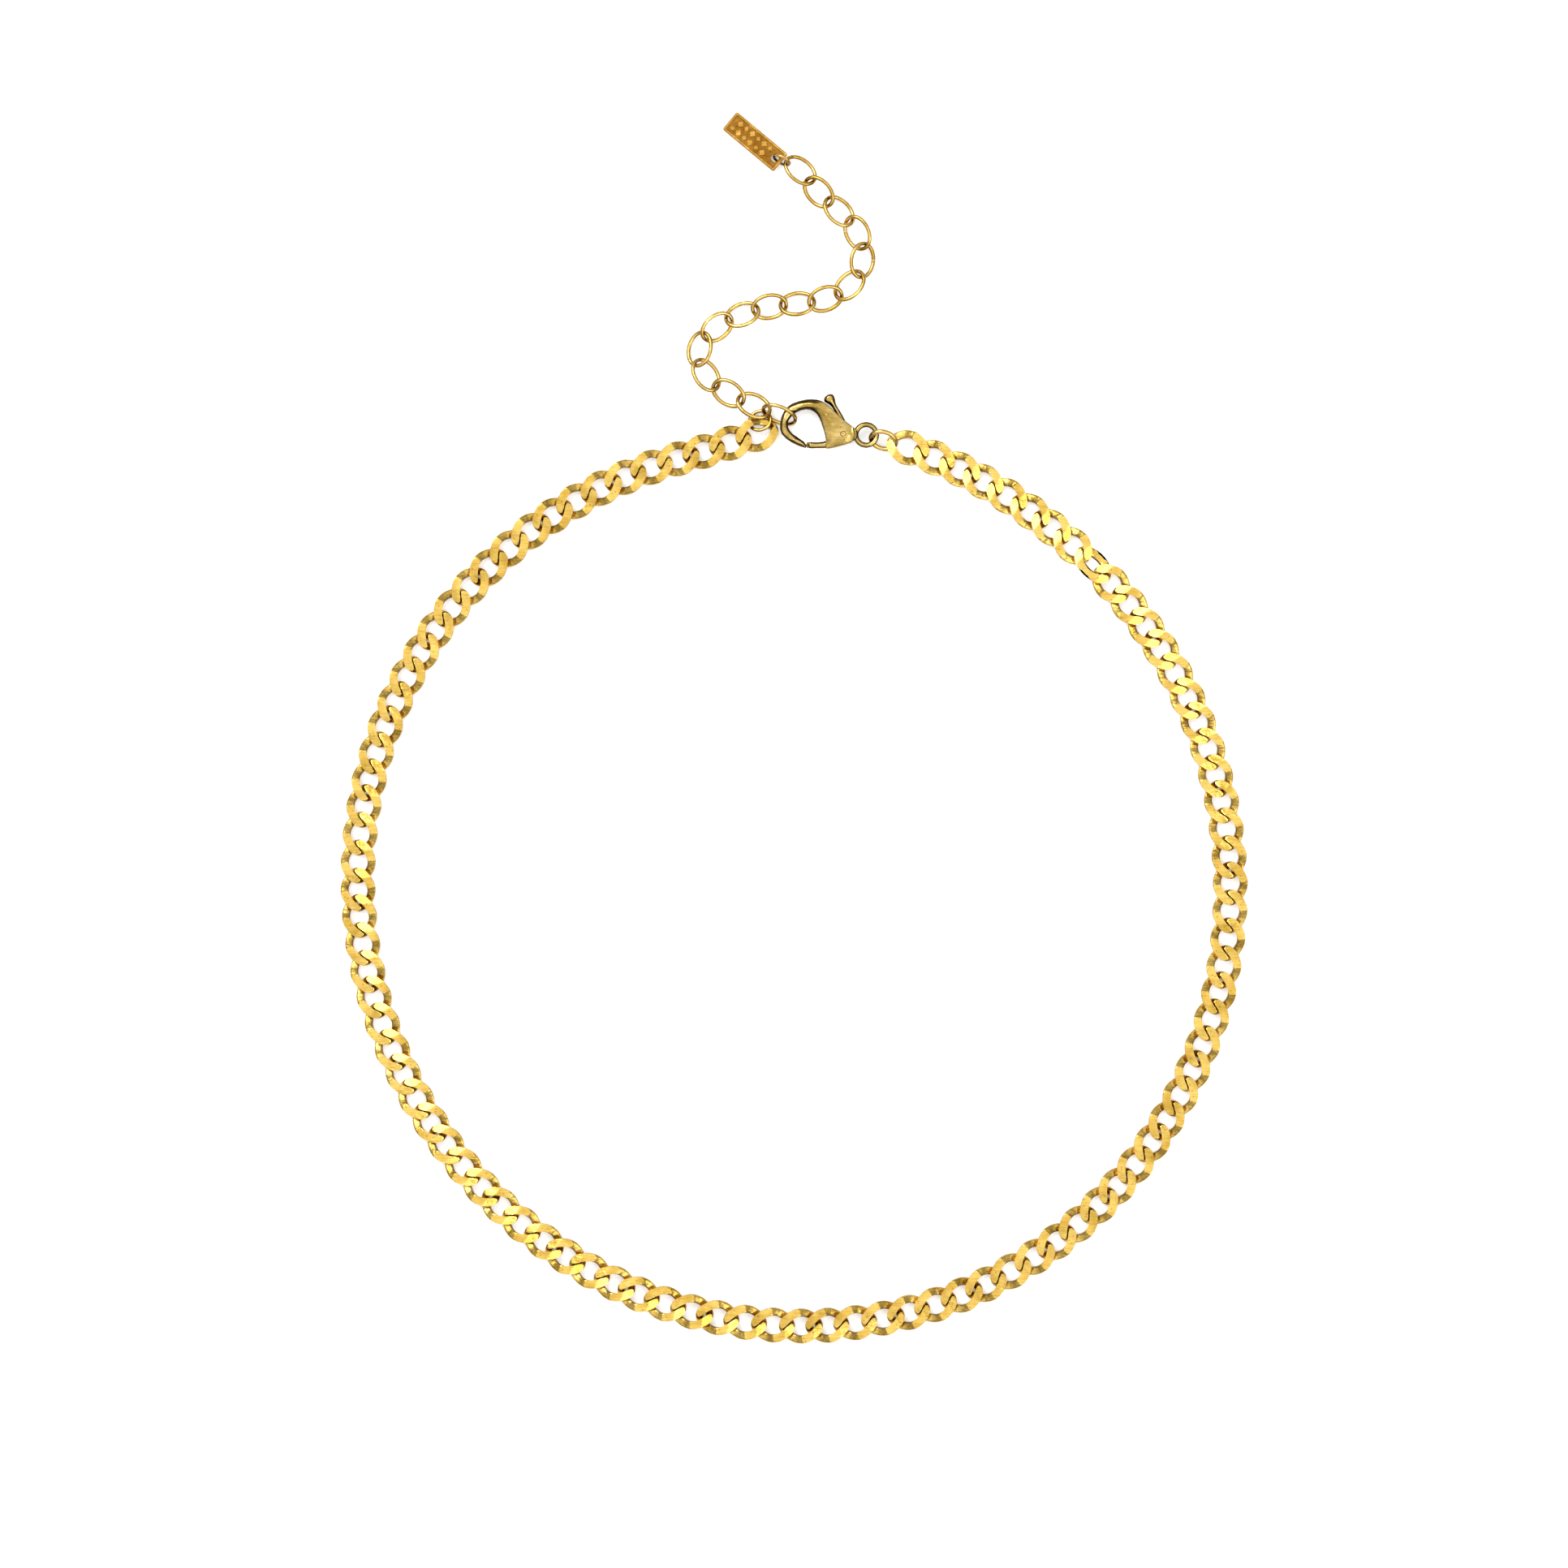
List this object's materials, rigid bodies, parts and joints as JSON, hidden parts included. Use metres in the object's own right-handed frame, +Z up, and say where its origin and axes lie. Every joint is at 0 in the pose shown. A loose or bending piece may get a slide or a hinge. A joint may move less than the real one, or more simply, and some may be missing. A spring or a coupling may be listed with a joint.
{
  "type": "chain necklace",
  "caption": "Flat curb chain necklace with a lobster clasp, an oval ring extender and an end tag, closed in a loop.",
  "frame": {"origin": "middle of the necklace's footprint, on the surface it lies on", "axes": "+X right, +Y up along the extender to the tag, +Z up from the surface it lies on"},
  "size_m": [0.1162, 0.1579, 0.0031],
  "materials": {
    "curb": "bright gold plate, ground flat facets",
    "rings": "polished gold plate",
    "clasp": "darker polished gold plate",
    "steel": "plain spring steel",
    "tag": "satin gold plate"
  },
  "bodies": {
    "run_01": {"curb_run_01": "curb"},
    "run_02": {"curb_run_02": "curb"},
    "run_03": {"curb_run_03": "curb"},
    "run_04": {"curb_run_04": "curb"},
    "run_05": {"curb_run_05": "curb"},
    "run_06": {"curb_run_06": "curb"},
    "run_07": {"curb_run_07": "curb"},
    "run_08": {"curb_run_08": "curb"},
    "run_09": {"curb_run_09": "curb"},
    "run_10": {"curb_run_10": "curb"},
    "run_11": {"curb_run_11": "curb"},
    "run_12": {"curb_run_12": "curb"},
    "run_13": {"curb_run_13": "curb"},
    "run_14": {"curb_run_14": "curb"},
    "run_15": {"curb_run_15": "curb"},
    "run_16": {"curb_run_16": "curb"},
    "run_17": {"curb_run_17": "curb"},
    "run_18": {"curb_run_18": "curb"},
    "run_19": {"curb_run_19": "curb"},
    "run_20": {"curb_run_20": "curb"},
    "run_21": {"curb_run_21": "curb"},
    "run_22": {"curb_run_22": "curb"},
    "run_23": {"curb_run_23": "curb"},
    "run_24": {"curb_run_24": "curb"},
    "run_25": {"curb_run_25": "curb"},
    "run_26": {"curb_run_26": "curb"},
    "run_27": {"curb_run_27": "curb"},
    "run_28": {"curb_run_28": "curb"},
    "run_29": {"curb_run_29": "curb"},
    "run_30": {"curb_run_30": "curb"},
    "run_31": {"curb_run_31": "curb"},
    "clasp_ring": {"clasp_jump_ring": "rings"},
    "clasp": {"clasp_body": "clasp", "clasp_pin": "steel", "clasp_spring": "steel"},
    "lever": {"clasp_lever": "clasp"},
    "end_ring": {"end_jump_ring": "rings"},
    "ring_01": {"extender_ring_01": "rings"},
    "ring_02": {"extender_ring_02": "rings"},
    "ring_03": {"extender_ring_03": "rings"},
    "ring_04": {"extender_ring_04": "rings"},
    "ring_05": {"extender_ring_05": "rings"},
    "ring_06": {"extender_ring_06": "rings"},
    "ring_07": {"extender_ring_07": "rings"},
    "ring_08": {"extender_ring_08": "rings"},
    "ring_09": {"extender_ring_09": "rings"},
    "ring_10": {"extender_ring_10": "rings"},
    "ring_11": {"extender_ring_11": "rings"},
    "ring_12": {"extender_ring_12": "rings"},
    "ring_13": {"extender_ring_13": "rings"},
    "ring_14": {"extender_ring_14": "rings"},
    "ring_15": {"extender_ring_15": "rings"},
    "ring_16": {"extender_ring_16": "rings"},
    "tag_ring": {"tag_ring": "rings"},
    "tag": {"tag": "tag"}
  },
  "joints": [
    {"name": "fold_46", "type": "hinge", "parent": "run_16", "child": "run_15", "pos_m": [0.00257, -0.07678, 0.00083], "axis": [0, 0, 1], "range_deg": [-6.13, 2.04]},
    {"name": "fold_43", "type": "hinge", "parent": "run_15", "child": "run_14", "pos_m": [0.01304, -0.07548, 0.00083], "axis": [0, 0, 1], "range_deg": [-6.05, 6.05]},
    {"name": "fold_40", "type": "hinge", "parent": "run_14", "child": "run_13", "pos_m": [0.02307, -0.07218, 0.00083], "axis": [0, 0, 1], "range_deg": [-6.04, 6.04]},
    {"name": "fold_37", "type": "hinge", "parent": "run_13", "child": "run_12", "pos_m": [0.03227, -0.067, 0.00083], "axis": [0, 0, 1], "range_deg": [-6.05, 6.05]},
    {"name": "fold_34", "type": "hinge", "parent": "run_12", "child": "run_11", "pos_m": [0.0403, -0.06014, 0.00083], "axis": [0, 0, 1], "range_deg": [-6.07, 6.07]},
    {"name": "fold_31", "type": "hinge", "parent": "run_11", "child": "run_10", "pos_m": [0.04687, -0.05188, 0.00083], "axis": [0, 0, 1], "range_deg": [-6.1, 6.1]},
    {"name": "fold_28", "type": "hinge", "parent": "run_10", "child": "run_09", "pos_m": [0.05176, -0.04252, 0.00083], "axis": [0, 0, 1], "range_deg": [-6.14, 6.14]},
    {"name": "fold_25", "type": "hinge", "parent": "run_09", "child": "run_08", "pos_m": [0.05482, -0.03241, 0.00083], "axis": [0, 0, 1], "range_deg": [-6.16, 0.51]},
    {"name": "fold_21", "type": "hinge", "parent": "run_08", "child": "run_07", "pos_m": [0.05592, -0.01832, 0.00083], "axis": [0, 0, 1], "range_deg": [-2, 6]},
    {"name": "fold_18", "type": "hinge", "parent": "run_07", "child": "run_06", "pos_m": [0.0545, -0.00786, 0.00083], "axis": [0, 0, 1], "range_deg": [-6, 6]},
    {"name": "fold_15", "type": "hinge", "parent": "run_06", "child": "run_05", "pos_m": [0.05121, 0.00217, 0.00083], "axis": [0, 0, 1], "range_deg": [-6, 6]},
    {"name": "fold_12", "type": "hinge", "parent": "run_05", "child": "run_04", "pos_m": [0.04616, 0.01145, 0.00083], "axis": [0, 0, 1], "range_deg": [-6, 6]},
    {"name": "fold_09", "type": "hinge", "parent": "run_04", "child": "run_03", "pos_m": [0.03955, 0.01969, 0.00083], "axis": [0, 0, 1], "range_deg": [-6, 6]},
    {"name": "fold_06", "type": "hinge", "parent": "run_03", "child": "run_02", "pos_m": [0.03165, 0.02671, 0.00083], "axis": [0, 0, 1], "range_deg": [-6, 6]},
    {"name": "fold_03", "type": "hinge", "parent": "run_02", "child": "run_01", "pos_m": [0.02273, 0.03237, 0.00083], "axis": [0, 0, 1], "range_deg": [-6, 6]},
    {"name": "fold_00", "type": "hinge", "parent": "run_01", "child": "clasp_ring", "pos_m": [0.01242, 0.03667, 0.00083], "axis": [0, 0, 1], "range_deg": [-0.5, 6]},
    {"name": "fold_50", "type": "hinge", "parent": "run_16", "child": "run_17", "pos_m": [-0.01149, -0.07537, 0.00083], "axis": [0, 0, 1], "range_deg": [-6.26, 0.52]},
    {"name": "fold_53", "type": "hinge", "parent": "run_17", "child": "run_18", "pos_m": [-0.02151, -0.07204, 0.00083], "axis": [0, 0, 1], "range_deg": [-6.18, 6.18]},
    {"name": "fold_56", "type": "hinge", "parent": "run_18", "child": "run_19", "pos_m": [-0.03074, -0.06691, 0.00083], "axis": [0, 0, 1], "range_deg": [-6.13, 6.13]},
    {"name": "fold_59", "type": "hinge", "parent": "run_19", "child": "run_20", "pos_m": [-0.03889, -0.06019, 0.00083], "axis": [0, 0, 1], "range_deg": [-6.09, 6.09]},
    {"name": "fold_62", "type": "hinge", "parent": "run_20", "child": "run_21", "pos_m": [-0.04568, -0.0521, 0.00083], "axis": [0, 0, 1], "range_deg": [-6.07, 6.07]},
    {"name": "fold_65", "type": "hinge", "parent": "run_21", "child": "run_22", "pos_m": [-0.05089, -0.04292, 0.00083], "axis": [0, 0, 1], "range_deg": [-6.06, 6.06]},
    {"name": "fold_68", "type": "hinge", "parent": "run_22", "child": "run_23", "pos_m": [-0.05434, -0.03294, 0.00083], "axis": [0, 0, 1], "range_deg": [-6.04, 6.04]},
    {"name": "fold_71", "type": "hinge", "parent": "run_23", "child": "run_24", "pos_m": [-0.05589, -0.02249, 0.00083], "axis": [0, 0, 1], "range_deg": [-6, 2]},
    {"name": "fold_75", "type": "hinge", "parent": "run_24", "child": "run_25", "pos_m": [-0.05489, -0.0084, 0.00083], "axis": [0, 0, 1], "range_deg": [-0.51, 6.11]},
    {"name": "fold_78", "type": "hinge", "parent": "run_25", "child": "run_26", "pos_m": [-0.05185, 0.00171, 0.00083], "axis": [0, 0, 1], "range_deg": [-6.05, 6.05]},
    {"name": "fold_81", "type": "hinge", "parent": "run_26", "child": "run_27", "pos_m": [-0.04696, 0.01107, 0.00083], "axis": [0, 0, 1], "range_deg": [-6.04, 6.04]},
    {"name": "fold_84", "type": "hinge", "parent": "run_27", "child": "run_28", "pos_m": [-0.04039, 0.01934, 0.00083], "axis": [0, 0, 1], "range_deg": [-6.04, 6.04]},
    {"name": "fold_87", "type": "hinge", "parent": "run_28", "child": "run_29", "pos_m": [-0.03237, 0.02621, 0.00083], "axis": [0, 0, 1], "range_deg": [-6.03, 6.03]},
    {"name": "fold_90", "type": "hinge", "parent": "run_29", "child": "run_30", "pos_m": [-0.0232, 0.03145, 0.00083], "axis": [0, 0, 1], "range_deg": [-6.02, 6.02]},
    {"name": "fold_93", "type": "hinge", "parent": "run_30", "child": "run_31", "pos_m": [-0.01324, 0.03498, 0.00083], "axis": [0, 0, 1], "range_deg": [-6.01, 6.01]},
    {"name": "fold_96", "type": "hinge", "parent": "run_31", "child": "end_ring", "pos_m": [-0.00255, 0.03829, 0.00083], "axis": [0, 0, 1], "range_deg": [-1.96, 5.89]},
    {"name": "clasp_swivel", "type": "hinge", "parent": "clasp_ring", "child": "clasp", "pos_m": [0.01059, 0.03745, 0.00125], "axis": [0, 0, 1], "range_deg": [-1, 1]},
    {"name": "lever_turn", "type": "hinge", "parent": "clasp", "child": "lever", "pos_m": [0.0063, 0.03765, 0.00125], "axis": [0, 0, -1], "range_deg": [0, 22], "stiffness_Nm_per_rad": 0.002, "springref_deg": -11.46},
    {"name": "hooked_ring_turn", "type": "hinge", "parent": "end_ring", "child": "ring_01", "pos_m": [-0.0044, 0.03944, 0.00063], "axis": [0, 0, 1], "range_deg": [-2, 2]},
    {"name": "extender_turn_02", "type": "hinge", "parent": "ring_01", "child": "ring_02", "pos_m": [-0.00354, 0.04075, 0.00133], "axis": [0, 0, 1], "range_deg": [-5, 8]},
    {"name": "extender_turn_03", "type": "hinge", "parent": "ring_02", "child": "ring_03", "pos_m": [-0.0068, 0.04213, 0.0011], "axis": [0, 0, 1], "range_deg": [-5, 8]},
    {"name": "extender_turn_04", "type": "hinge", "parent": "ring_03", "child": "ring_04", "pos_m": [-0.00986, 0.04408, 0.0011], "axis": [0, 0, 1], "range_deg": [-5, 8]},
    {"name": "extender_turn_05", "type": "hinge", "parent": "ring_04", "child": "ring_05", "pos_m": [-0.01171, 0.04691, 0.0011], "axis": [0, 0, 1], "range_deg": [-5, 8]},
    {"name": "extender_turn_06", "type": "hinge", "parent": "ring_05", "child": "ring_06", "pos_m": [-0.011, 0.04999, 0.0011], "axis": [0, 0, 1], "range_deg": [-5, 8]},
    {"name": "extender_turn_07", "type": "hinge", "parent": "ring_06", "child": "ring_07", "pos_m": [-0.00827, 0.0522, 0.0011], "axis": [0, 0, 1], "range_deg": [-5, 8]},
    {"name": "extender_turn_08", "type": "hinge", "parent": "ring_07", "child": "ring_08", "pos_m": [-0.00491, 0.05351, 0.0011], "axis": [0, 0, 1], "range_deg": [-5, 8]},
    {"name": "extender_turn_09", "type": "hinge", "parent": "ring_08", "child": "ring_09", "pos_m": [-0.00138, 0.0542, 0.0011], "axis": [0, 0, 1], "range_deg": [-5, 8]},
    {"name": "extender_turn_10", "type": "hinge", "parent": "ring_09", "child": "ring_10", "pos_m": [0.00221, 0.0547, 0.0011], "axis": [0, 0, 1], "range_deg": [-5, 8]},
    {"name": "extender_turn_11", "type": "hinge", "parent": "ring_10", "child": "ring_11", "pos_m": [0.00556, 0.05589, 0.0011], "axis": [0, 0, 1], "range_deg": [-5, 8]},
    {"name": "extender_turn_12", "type": "hinge", "parent": "ring_11", "child": "ring_12", "pos_m": [0.00793, 0.05835, 0.0011], "axis": [0, 0, 1], "range_deg": [-5, 8]},
    {"name": "extender_turn_13", "type": "hinge", "parent": "ring_12", "child": "ring_13", "pos_m": [0.00843, 0.06173, 0.0011], "axis": [0, 0, 1], "range_deg": [-5, 8]},
    {"name": "extender_turn_14", "type": "hinge", "parent": "ring_13", "child": "ring_14", "pos_m": [0.00693, 0.06488, 0.0011], "axis": [0, 0, 1], "range_deg": [-5, 8]},
    {"name": "extender_turn_15", "type": "hinge", "parent": "ring_14", "child": "ring_15", "pos_m": [0.00446, 0.0675, 0.0011], "axis": [0, 0, 1], "range_deg": [-5, 8]},
    {"name": "extender_turn_16", "type": "hinge", "parent": "ring_15", "child": "ring_16", "pos_m": [0.00198, 0.07012, 0.0011], "axis": [0, 0, 1], "range_deg": [-5, 8]},
    {"name": "tag_ring_turn", "type": "hinge", "parent": "ring_16", "child": "tag_ring", "pos_m": [-0.00158, 0.0728, 0.0013], "axis": [0, 0, 1], "range_deg": [-6, 6]},
    {"name": "tag_turn", "type": "hinge", "parent": "tag_ring", "child": "tag", "pos_m": [-0.00249, 0.07306, 0.0009], "axis": [0, 0, 1], "range_deg": [-8, 8]}
  ],
  "couplings": [
    {"joint": "fold_46", "follows": "fold_21", "ratio": -1.0193},
    {"joint": "fold_43", "follows": "fold_18", "ratio": -1.0058},
    {"joint": "fold_40", "follows": "fold_15", "ratio": -1.0053},
    {"joint": "fold_37", "follows": "fold_12", "ratio": -1.0069},
    {"joint": "fold_34", "follows": "fold_09", "ratio": -1.0095},
    {"joint": "fold_31", "follows": "fold_06", "ratio": -1.0138},
    {"joint": "fold_28", "follows": "fold_03", "ratio": -1.0209},
    {"joint": "fold_25", "follows": "fold_00", "ratio": -1.0251},
    {"joint": "fold_50", "follows": "fold_00", "ratio": -1.0407},
    {"joint": "fold_53", "follows": "fold_03", "ratio": -1.028},
    {"joint": "fold_56", "follows": "fold_06", "ratio": -1.0189},
    {"joint": "fold_59", "follows": "fold_09", "ratio": -1.0133},
    {"joint": "fold_62", "follows": "fold_12", "ratio": -1.0099},
    {"joint": "fold_65", "follows": "fold_15", "ratio": -1.0072},
    {"joint": "fold_68", "follows": "fold_18", "ratio": -1.005},
    {"joint": "fold_71", "follows": "fold_21", "ratio": -0.99837},
    {"joint": "fold_75", "follows": "fold_00", "ratio": 1.0155},
    {"joint": "fold_78", "follows": "fold_03", "ratio": 1.0071},
    {"joint": "fold_81", "follows": "fold_06", "ratio": 1.005},
    {"joint": "fold_84", "follows": "fold_09", "ratio": 1.0039},
    {"joint": "fold_87", "follows": "fold_12", "ratio": 1.0031},
    {"joint": "fold_90", "follows": "fold_15", "ratio": 1.0019},
    {"joint": "fold_93", "follows": "fold_18", "ratio": 0.99924},
    {"joint": "fold_96", "follows": "fold_21", "ratio": 0.97905}
  ]
}
